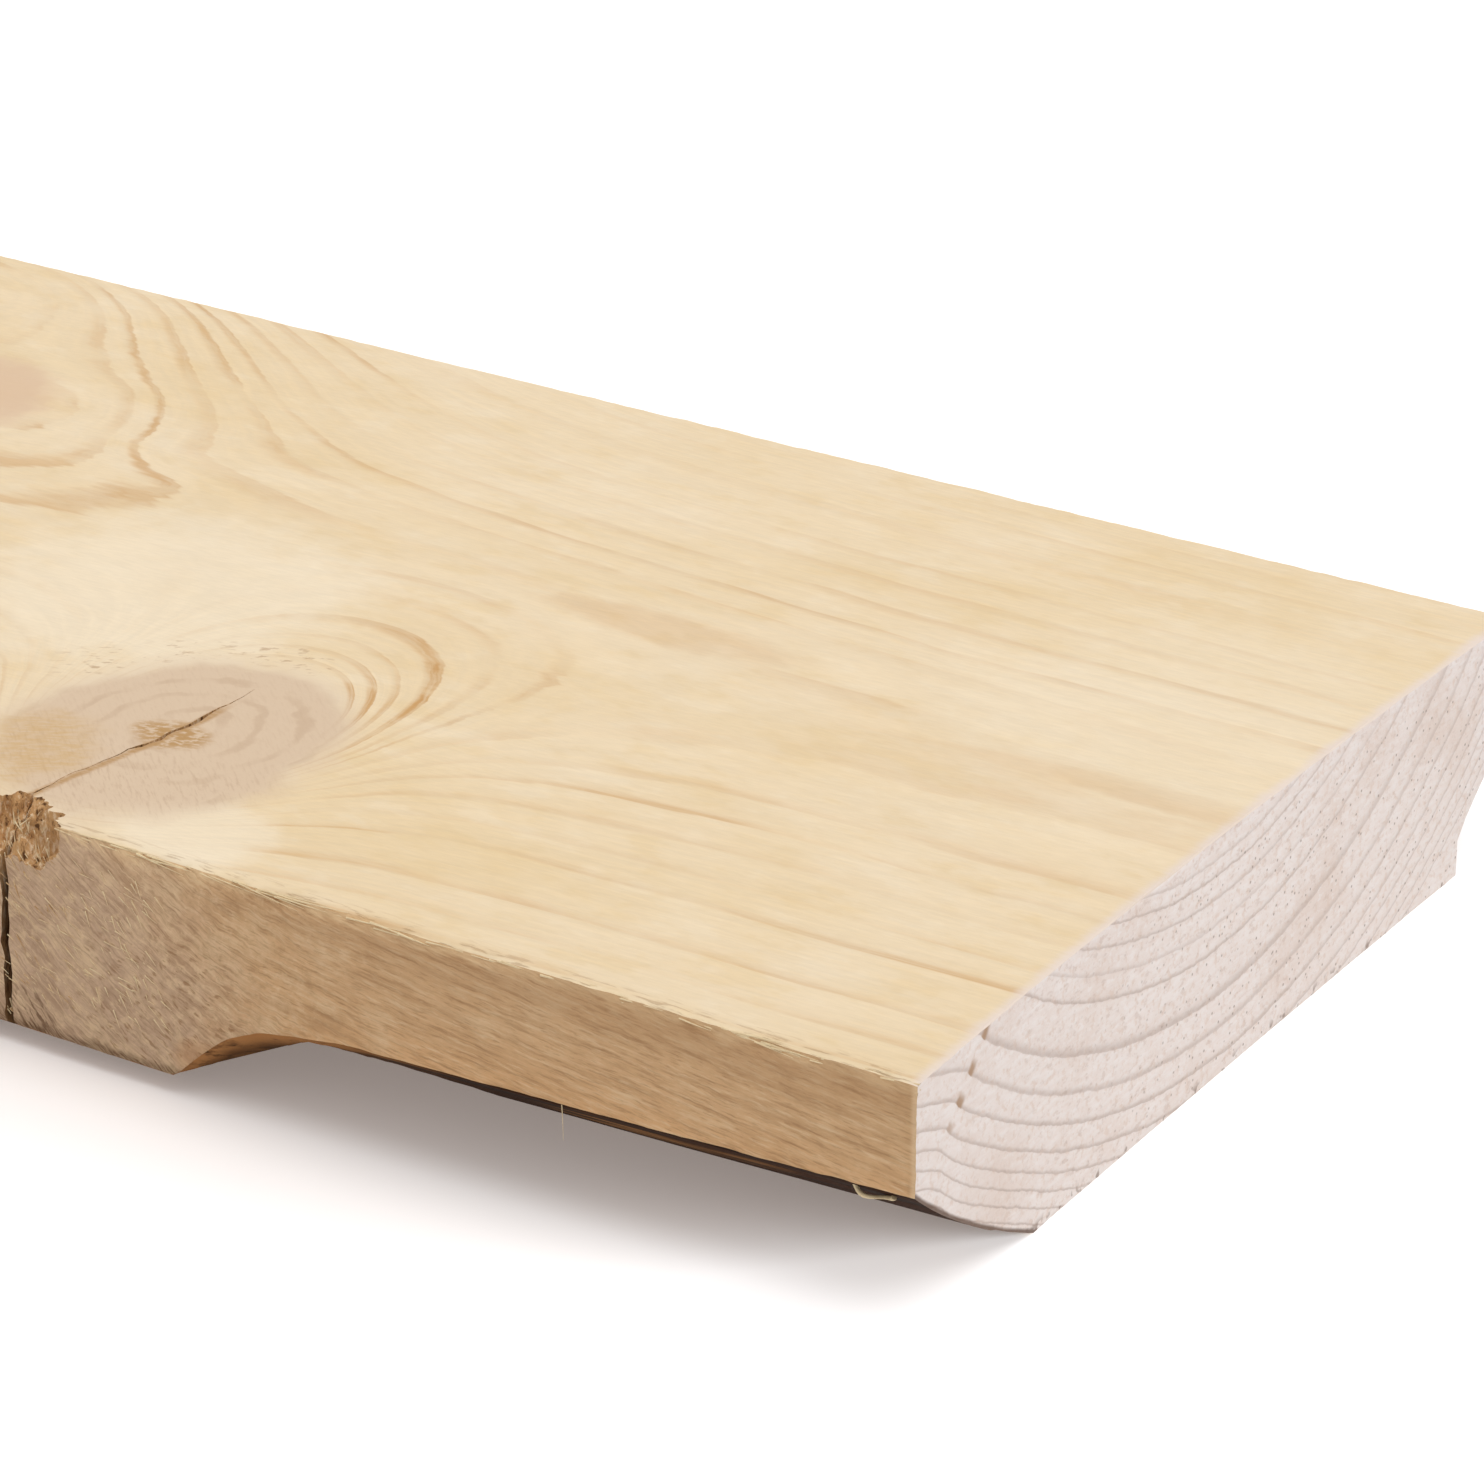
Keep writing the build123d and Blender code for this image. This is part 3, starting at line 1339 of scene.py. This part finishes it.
@dataclass
class WaneyBoard:
    """The board itself: the sawn block, its wane and wear, the check and the broken knot."""

    surface: LogSurface = field(default_factory=LogSurface)
    end_hollow: float = END_HOLLOW
    hollow_run: float = 14.0
    saw_marks: float = 0.1
    crest_chips: float = 0.3
    edge_fuzz: float = 0.35
    arris_wear: float = 0.9
    arris_band: float = 4.0
    arris_roll: float = 2.2
    wane_relief: float = 0.6
    check_path: tuple[Triple, ...] = (
        (-30.6, -123.7, 0.05), (-36.0, -123.8, 0.17), (-43.0, -124.2, 0.6), (-50.0, -125.3, 0.65),
        (-55.0, -126.3, 0.14), (-66.0, -128.2, 0.1), (-72.0, -128.8, 0.4), (-74.5, -128.9, 1.15),
        (-80.0, -129.0, 1.2),
    )
    flank_lift: tuple[tuple[float, float], ...] = (
        (74.0, 0.0), (84.0, 0.95), (91.0, 2.05), (96.0, 2.0), (104.0, 0.0),
    )
    flank_rim: tuple[tuple[float, float], ...] = (
        (50.0, 11.4), (60.0, 13.3), (70.5, 13.5), (79.2, 13.6), (83.6, 13.3), (104.0, 3.0), (106.0, 0.0),
    )
    flank_width: float = 40.0
    pit_place: Triple = (-127.0, -75.8, 32.8)
    pit_size: Triple = (6.5, 6.0, 7.0)
    first_cut: float = 0.25
    fine_steps: tuple[tuple[float, float], ...] = ((150.0, 0.9), (270.0, 2.0))
    plain_step: float = 9.0
    collar_step: float = 3.2
    collar_zone: float = 75.0
    toe_column: float = 62.4
    toe_start: float = 40.0
    toe_clear: float = 1.2
    toe_step: float = 0.05
    last_gap: float = 0.2

    def stations(self) -> list[float]:
        """Lists where the block is cut along its length, close together where the shape is fine.

        Returns:
            X of the cuts, in millimetres.
        """
        spots: list[float] = []
        distance = self.first_cut
        while distance < BOARD_LENGTH - self.last_gap:
            spots.append(TRIMMED_END - distance)
            step = next((size for end, size in self.fine_steps if distance < end), self.plain_step)
            for collar in self.surface.collars[1:]:
                if abs(distance - collar.distance) < self.collar_zone * collar.size:
                    step = min(step, self.collar_step)
            distance += step
        return spots

    def columns(self) -> list[float]:
        """Lists where the block is cut across its width.

        Returns:
            Y of the cuts, in millimetres.
        """
        close = [0.85, 1.7, 2.7, 3.8]
        under = np.arange(5.0, 30.0, 1.25).tolist()
        middle = np.arange(33.0, 104.0, 7.0).tolist()
        far = np.linspace(107.0, 146.2, 13).tolist()
        spots = close + under + middle + far + [BOARD_WIDTH - c for c in reversed(close[:3])]
        toe = self.toe_column + HALF_WIDTH
        spots = [s for s in spots if abs(s - toe) > self.toe_clear] + [toe - self.toe_step, toe + self.toe_step]
        return sorted(s - HALF_WIDTH for s in spots)

    def rows(self) -> list[float]:
        """Lists where the block is cut through its thickness."""
        return [1.2, 2.4] + np.linspace(4.0, 28.0, 19).tolist() + [29.6, 31.1]

    def build(self) -> Object:
        """Builds the board.

        Returns:
            The board, shaped but without its finishes and its broken knot.
        """
        board = block(
            "waney_board", (-TRIMMED_END, -HALF_WIDTH, 0.0), (TRIMMED_END, HALF_WIDTH, BOARD_THICKNESS),
            (self.stations(), self.columns(), self.rows()),
        )
        self.mark_surfaces(board)
        set_points(board, self.shaped(points_of(board)))
        return board

    def mark_surfaces(self, board: Object) -> None:
        """Gives each face of the block the slot of its surface.

        Args:
            board: The board, before it is shaped.
        """
        slots = np.empty(len(board.data.polygons), dtype=np.int32)
        for index, face in enumerate(board.data.polygons):
            x, y, z = face.normal
            if z > 0.5:
                slots[index] = Surface.TOP.value
            elif z < -0.5:
                slots[index] = Surface.BARK_SIDE.value
            elif abs(y) > 0.5:
                slots[index] = Surface.EDGE.value
            else:
                slots[index] = Surface.END.value
        board.data.polygons.foreach_set("material_index", slots)

    def shaped(self, lattice: np.ndarray) -> np.ndarray:
        """Moves the lattice to the log's surface and roughens it.

        Args:
            lattice: The block's vertices.

        Returns:
            The shaped vertices, all inside the block.
        """
        x, y, z = lattice.T
        distance = TRIMMED_END - x
        on_top, on_low = z > BOARD_THICKNESS - ON_FACE, z < ON_FACE
        on_near, on_far = y < -HALF_WIDTH + ON_FACE, y > HALF_WIDTH - ON_FACE
        on_end, on_butt = x > TRIMMED_END - ON_FACE, x < -TRIMMED_END + ON_FACE
        toe = unit(1 - distance / self.surface.toe_length)
        shift = (self.surface.toe_reach(distance) - self.toe_column) * (toe > 0)
        inner = (y - self.toe_start) / (self.toe_column - self.toe_start)
        outer = (HALF_WIDTH - y) / (HALF_WIDTH - self.toe_column)
        y = y + shift * unit(np.where(y < self.toe_column, inner, outer))
        low = self.hollowed(distance, y, self.surface.low_side(distance, y))
        z = low + z / BOARD_THICKNESS * (BOARD_THICKNESS - low)
        here = np.stack([x - TRIMMED_END, y, z], axis=1)

        edges = on_near | on_far
        fuzz, wear, rise, marks = (np.zeros(len(x)) for _ in range(4))
        along = np.stack([here[:, 0] / 3.2, np.zeros(len(x)), here[:, 2] / 6.0], axis=1)
        along[edges, 1] = ring_radius(here[edges]) / 0.8
        fuzz[edges] = self.edge_fuzz * np.clip(0.35 + 0.5 * grainy(along[edges], 3), 0.0, 0.9)
        inset, depth = np.where(y < 0, y + HALF_WIDTH, HALF_WIDTH - y), BOARD_THICKNESS - z
        rounded = (on_top & (inset < self.arris_band)) | (edges & (depth < self.arris_band))
        slow, quick = here[rounded] / (13.0, 90.0, 90.0), here[rounded] / (2.8, 30.0, 30.0)
        slow[:, 1:] = quick[:, 1:] = np.sign(y[rounded])[:, None]
        worn = 0.34 + 0.55 * grainy(slow, 2) + 0.35 * grainy(quick, 3)
        worn += 0.35 * np.exp(-(((here[rounded, 0] + 88.0) / 24.0) ** 2)) * (y[rounded] < 0)
        wear[rounded] = self.arris_wear * np.clip(worn, 0.05, 1.3) * np.where(y[rounded] < 0, 1.0, 0.15)
        over = np.where(on_top, unit(1 - inset / self.arris_band), unit(1 - depth / self.arris_roll) ** 2)
        down = np.where(edges, unit(1 - depth / self.arris_band), unit(1 - inset / self.arris_roll) ** 2)
        inwards = np.where(y < 0, 1.0, -1.0) * (fuzz + wear * over)
        bark = on_low & (low > 0.05) & ~edges
        rise[bark] = np.clip(0.4 + 0.55 * grainy(here[bark] / (60.0, 3.6, 3.6), 4), 0.0, 1.3)
        rim = unit((HALF_WIDTH - np.abs(y)) / 34.0)
        rise *= self.wane_relief * unit(low / 2.0) * rim
        crown = unit(1 - (y / HALF_WIDTH) ** 2)
        hollow = self.end_hollow * crown * (0.33 + 0.67 * z / BOARD_THICKNESS)
        ends = on_end | on_butt
        marks[ends] = self.saw_marks * unit(0.5 + 0.5 * grainy(here[ends] / (1e3, 9.0, 1.6), 3))
        x = x - hollow * unit(1 - distance / self.hollow_run)
        x = x - np.where(on_end, marks, 0.0) + np.where(on_butt, marks, 0.0)
        y = y + inwards
        z = z - wear * down + rise
        crest = on_top & ends & ~edges
        z[crest] -= self.crest_chips * unit(0.5 + 0.6 * grainy(here[crest] / (1e3, 2.2, 30.0), 3))
        return np.stack([x, y, z], axis=1)

    def hollowed(self, distance: np.ndarray, y: np.ndarray, low: np.ndarray) -> np.ndarray:
        """Hollows the flank of the big collar, where the log's surface turns up beside it.

        Args:
            distance: Distances from the trimmed end.
            y: Y of the points.
            low: Height of the lower side there.

        Returns:
            The hollowed heights.
        """
        inset = y + HALF_WIDTH
        raised = low + np.interp(distance, *zip(*self.flank_lift)) * np.exp(-inset / 6.0)
        rim = np.interp(distance - 0.64 * inset, *zip(*self.flank_rim))
        return np.where(inset < self.flank_width, np.maximum(raised, rim - 0.54 * inset), low)

    def check_cutter(self) -> Object:
        """Builds the jagged blade that opens the drying check through the big knot.

        Returns:
            The blade.
        """
        cutter = block(
            "check_cutter", (-1.0, -80.0, -4.0), (1.0, -30.6, 38.0),
            ((), np.linspace(-79.0, -31.6, 34).tolist(), np.linspace(-2.0, 36.0, 20).tolist()),
        )
        spots = points_of(cutter)
        path = np.array(self.check_path)[::-1]
        middle = np.interp(spots[:, 1], path[:, 0], path[:, 1])
        gap = np.interp(spots[:, 1], path[:, 0], path[:, 2])
        wander = np.stack([spots[:, 1] / 4.5, spots[:, 2] / 7.0, 0.0 * gap], axis=1)
        ragged = np.stack([spots[:, 1] / 1.7, spots[:, 2] / 2.6, spots[:, 0] * 3.0], axis=1)
        shift = 0.55 * grainy(wander, 2)
        side = spots[:, 0] * (gap / 2) * np.clip(1.0 + 0.8 * grainy(ragged, 2), 0.25, 2.0)
        spots[:, 0] = TRIMMED_END + middle + shift + side
        set_points(cutter, spots)
        return cutter

    def pit_cutter(self) -> Object:
        """Builds the lump that breaks the pit out of the knot's upper arris.

        Returns:
            The lump.
        """
        deselect()
        bpy.ops.mesh.primitive_ico_sphere_add(subdivisions=6, radius=1.0, location=(0.0, 0.0, 0.0))
        cutter = bpy.context.object
        cutter.name = "pit_cutter"
        spots = points_of(cutter) * MM
        lumps = grainy(spots * (1.6, 1.6, 0.8) + 7.3, 3)
        strands = grainy(spots * (14.0, 14.0, 2.0) + 2.1, 3)
        spots = spots * (1.0 + 0.42 * lumps + 0.075 * strands)[:, None]
        set_points(cutter, spots * self.pit_size + self.pit_place + np.array([TRIMMED_END, 0.0, 0.0]))
        return cutter

    def break_knot(self, board: Object) -> None:
        """Opens the check and the pit in the dressed board and smooths its faces.

        Args:
            board: The board.
        """
        self.cut(board, self.pit_cutter())
        self.cut(board, self.check_cutter())
        deselect()
        board.select_set(True)
        bpy.context.view_layer.objects.active = board
        bpy.ops.object.shade_smooth_by_angle(angle=math.radians(38.0))

    def cut(self, board: Object, cutter: Object) -> None:
        """Takes a cutter's shape out of the board, with torn faces where it went.

        Args:
            board: The board.
            cutter: The cutter, which is removed.
        """
        for material in board.data.materials:
            cutter.data.materials.append(material)
        slots = np.full(len(cutter.data.polygons), Surface.TORN.value, dtype=np.int32)
        cutter.data.polygons.foreach_set("material_index", slots)
        deselect()
        bpy.context.view_layer.objects.active = board
        board.select_set(True)
        carve = board.modifiers.new("carve", "BOOLEAN")
        carve.operation = "DIFFERENCE"
        carve.solver = "EXACT"
        carve.object = cutter
        bpy.ops.object.modifier_apply(modifier=carve.name)
        bpy.data.objects.remove(cutter)

    def dress(self, board: Object, growth: Growth) -> None:
        """Gives each surface its finish.

        Args:
            board: The board.
            growth: The shared growth groups.
        """
        finishes = {
            Surface.TOP: PlanedTop, Surface.EDGE: SawnEdge, Surface.END: EndGrain,
            Surface.BARK_SIDE: BarkSide, Surface.TORN: TornWood,
        }
        for kind in Surface:
            board.data.materials.append(finishes[kind](growth).build())


@dataclass(frozen=True)
class Tuft:
    """A band of loose fibres: how many, where they grow from, which way and how big they are.

    Places are in millimetres from the trimmed end; turns are in degrees about Y and Z.
    """

    count: int
    low: Triple
    high: Triple
    tilt: tuple[float, float]
    turn: tuple[float, float]
    length: tuple[float, float]
    width: tuple[float, float]


@dataclass
class LooseFibres:
    """The fibres that stand loose on the near edge, the broken knot and the lower arris."""

    tufts: tuple[Tuft, ...] = (
        Tuft(80, (-122.0, -74.7, 31.0), (-4.0, -74.3, 31.7),
             (-4.0, 9.0), (-2.0, 3.0), (4.0, 11.0), (0.16, 0.34)),
        Tuft(40, (-132.0, -74.6, 26.0), (-122.0, -73.0, 30.5),
             (50.0, 120.0), (-30.0, 30.0), (1.4, 4.2), (0.1, 0.26)),
        Tuft(14, (-131.5, -73.5, 28.5), (-123.0, -71.5, 30.5),
             (-140.0, -40.0), (-50.0, 50.0), (1.0, 2.6), (0.1, 0.24)),
        Tuft(22, (-133.0, -74.6, 4.4), (-121.0, -74.3, 6.5),
             (25.0, 75.0), (-6.0, 6.0), (1.0, 2.4), (0.2, 0.45)),
        Tuft(50, (-113.0, -74.72, 7.0), (-100.0, -74.62, 24.0),
             (8.0, 40.0), (0.0, 0.0), (1.4, 3.4), (0.12, 0.22)),
        Tuft(1, (-47.5, -74.6, 16.0), (-47.5, -74.6, 16.0),
             (88.0, 88.0), (0.0, 0.0), (5.2, 5.2), (0.14, 0.14)),
        Tuft(170, (-133.0, -74.97, 8.0), (-105.0, -74.86, 28.5),
             (5.0, 75.0), (0.0, 0.0), (0.9, 2.6), (0.1, 0.2)),
    )
    curl_place: Triple = (-5.8, -74.0, 16.9)
    curl_girth: float = 0.42
    curl_radius: float = 2.7
    curl_turn: float = 165.0
    margin: float = 0.02
    seed: int = 7

    def sliver(self) -> Object:
        """Models one fibre, a millimetre long along X, thin at its tip and slightly bent.

        Returns:
            The fibre.
        """
        deselect()
        level = (0.0, math.pi / 2, 0.0)
        bpy.ops.mesh.primitive_cone_add(vertices=5, radius1=0.5, radius2=0.12, depth=1.0, rotation=level)
        piece = bpy.context.object
        bpy.ops.object.transform_apply(location=True, rotation=True, scale=True)
        bpy.ops.object.mode_set(mode="EDIT")
        for spot in (-0.2, 0.2):
            bpy.ops.mesh.select_all(action="SELECT")
            bpy.ops.mesh.bisect(plane_co=(spot, 0.0, 0.0), plane_no=(1.0, 0.0, 0.0))
        bpy.ops.object.mode_set(mode="OBJECT")
        places = points_of(piece) * MM
        places[:, 0] += 0.5
        places[:, 2] += 0.25 * np.sin(places[:, 0] * math.pi)
        set_points(piece, places / MM)
        return piece

    def curl(self) -> Object:
        """Models the shaving that hangs in a curl under the lower arris.

        Returns:
            The shaving.
        """
        deselect()
        bpy.ops.mesh.primitive_circle_add(vertices=8, radius=self.curl_girth * MM, fill_type="NGON")
        piece = bpy.context.object
        piece.name = "curl"
        bpy.ops.object.mode_set(mode="EDIT")
        bpy.ops.mesh.select_all(action="SELECT")
        bpy.ops.transform.translate(value=(-self.curl_radius * MM, 0.0, 0.0))
        middle, axis = (0.0, 0.0, 0.0), (0.0, 1.0, 0.0)
        bpy.ops.mesh.spin(steps=12, angle=math.radians(self.curl_turn), center=middle, axis=axis, dupli=False)
        bpy.ops.mesh.select_all(action="SELECT")
        bpy.ops.mesh.normals_make_consistent(inside=False)
        bpy.ops.object.mode_set(mode="OBJECT")
        places = points_of(piece)
        places[:, 2] = -np.abs(places[:, 2]) * 0.4
        places[:, 1] += 0.5 * np.sin(places[:, 0] * 1.3)
        set_points(piece, places + self.curl_place + np.array([TRIMMED_END, 0.0, 0.0]))
        return piece

    def build(self, growth: Growth) -> Object:
        """Copies the fibre along each band, joins the copies and dresses them.

        Args:
            growth: The shared growth groups.

        Returns:
            The fibres, as one piece.
        """
        luck = np.random.default_rng(self.seed)
        model = self.sliver()
        copies = [self.curl()]
        for tuft in self.tufts:
            for _ in range(tuft.count):
                copy = model.copy()
                copy.data = model.data.copy()
                bpy.context.collection.objects.link(copy)
                spot = luck.uniform(tuft.low, tuft.high) + (TRIMMED_END, 0.0, 0.0)
                length, width = luck.uniform(*tuft.length), luck.uniform(*tuft.width)
                turn = Euler((luck.uniform(0.0, 6.28), math.radians(luck.uniform(*tuft.tilt)),
                              math.radians(luck.uniform(*tuft.turn))))
                stretch = Matrix.Diagonal((length * MM, width * MM, width * MM, 1.0))
                copy.data.transform(Matrix.Translation(spot * MM) @ turn.to_matrix().to_4x4() @ stretch)
                copies.append(copy)
        bpy.data.objects.remove(model)
        deselect()
        for copy in copies:
            copy.select_set(True)
        bpy.context.view_layer.objects.active = copies[0]
        bpy.ops.object.join()
        fibres = bpy.context.object
        fibres.name = fibres.data.name = "loose_fibres"
        places = points_of(fibres)
        places[:, 0] = np.minimum(places[:, 0], TRIMMED_END - self.margin)
        places[:, 1] = np.maximum(places[:, 1], self.margin - HALF_WIDTH)
        places[:, 2] = np.clip(places[:, 2], self.margin, BOARD_THICKNESS - self.margin)
        set_points(fibres, places)
        bpy.ops.object.shade_smooth_by_angle(angle=math.radians(60.0))
        fibres.data.materials.clear()
        fibres.data.materials.append(LooseFibre(growth).build())
        return fibres


# Studio

@dataclass
class Studio:
    """The pale floor, the soft light and the camera."""

    camera_place: Triple = (1.176744, -0.543344, 0.328527)
    camera_turn: Triple = (90.0 - 25.118, 0.0, 32.591)
    sensor: float = 36.0
    lens: float = 36.0 * 5656.0 / 1484.0
    floor_size: float = 14.0
    floor_grey: float = 0.76
    bounce_grey: float = 0.56
    sky: float = 0.62
    sky_tint: tuple[float, float, float, float] = (1.0, 0.955, 0.93, 1.0)
    key: float = 1.32
    key_tint: Triple = (0.97, 1.0, 1.03)
    key_turn: Triple = (4.0, 22.0, 0.0)
    key_spread: float = 40.0
    low_key: float = 9.0
    low_turn: Triple = (0.0, 81.5, 13.0)
    low_spread: float = 30.0
    shadow_lift: float = 0.24
    shadow_tint: tuple[float, float, float, float] = (1.0, 0.84, 0.76, 1.0)

    def build(self) -> None:
        """Sets up the whole studio."""
        self.light(self.floor())
        self.camera()
        bpy.context.scene.view_settings.view_transform = "Standard"

    def floor(self) -> Object:
        """Lays the floor, which is white where no shadow falls.

        Returns:
            The floor.
        """
        deselect()
        bpy.ops.mesh.primitive_plane_add(size=self.floor_size, location=(0.0, 0.0, 0.0))
        floor = bpy.context.object
        floor.name = "floor"
        material = bpy.data.materials.new("white_floor")
        material.use_nodes = True
        tree = material.node_tree
        shader = tree.nodes["Principled BSDF"]
        shader.inputs["Roughness"].default_value = 1.0
        shader.inputs["Specular IOR Level"].default_value = 0.0
        shader.inputs["Emission Color"].default_value = self.shadow_tint
        seen = seen_directly(tree)
        tree.links.new((seen * self.shadow_lift).socket, shader.inputs["Emission Strength"])
        grey = seen.ease(0.0, 1.0, self.bounce_grey, self.floor_grey)
        tree.links.new(join(tree, grey, grey, grey).socket, shader.inputs["Base Color"])
        floor.data.materials.append(material)
        return floor

    def light(self, floor: Object) -> None:
        """Hangs one wide soft lamp under an even white sky, and a low one that clears the floor.

        Args:
            floor: The floor.
        """
        world = bpy.data.worlds.new("even_sky")
        world.use_nodes = True
        sky = world.node_tree.nodes["Background"]
        strength = seen_directly(world.node_tree) * (1.0 - self.sky) + self.sky
        sky.inputs["Color"].default_value = self.sky_tint
        world.node_tree.links.new(strength.socket, sky.inputs["Strength"])
        bpy.context.scene.world = world
        self.lamp("soft_lamp", self.key, self.key_turn, self.key_spread)
        low = self.lamp("floor_lamp", self.low_key, self.low_turn, self.low_spread)
        lit = bpy.data.collections.new("lit_floor")
        lit.objects.link(floor)
        low.light_linking.receiver_collection = lit

    def lamp(self, name: str, power: float, turn: Triple, spread: float) -> Object:
        """Hangs a far lamp.

        Args:
            name: Its name.
            power: Its strength.
            turn: Its turn in degrees.
            spread: How wide it looks from the board, in degrees.

        Returns:
            The lamp.
        """
        deselect()
        bpy.ops.object.light_add(type="SUN", location=(0.6, 0.3, 1.5))
        lamp = bpy.context.object
        lamp.name = name
        lamp.rotation_euler = [math.radians(angle) for angle in turn]
        lamp.data.energy = power
        lamp.data.color = self.key_tint
        lamp.data.angle = math.radians(spread)
        return lamp

    def camera(self) -> None:
        """Sets the camera at the photograph's place."""
        deselect()
        bpy.ops.object.camera_add(location=self.camera_place)
        camera = bpy.context.object
        camera.rotation_euler = [math.radians(turn) for turn in self.camera_turn]
        camera.data.sensor_width = self.sensor
        camera.data.lens = self.lens
        camera.data.clip_start = 0.01
        bpy.context.scene.camera = camera


def main() -> None:
    """Builds the board, dresses it and sets up the studio."""
    logging.basicConfig(level=logging.INFO, format="%(name)s: %(message)s")
    growth = Growth()
    maker = WaneyBoard()
    board = maker.build()
    maker.dress(board, growth)
    maker.break_knot(board)
    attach(board, "root")
    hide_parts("board")
    log.info("%s: %d faces", board.name, len(board.data.polygons))
    fibres = LooseFibres().build(growth)
    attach(fibres, "root")
    log.info("%s: %d faces", fibres.name, len(fibres.data.polygons))
    Studio().build()


if __name__ == "__main__":
    main()
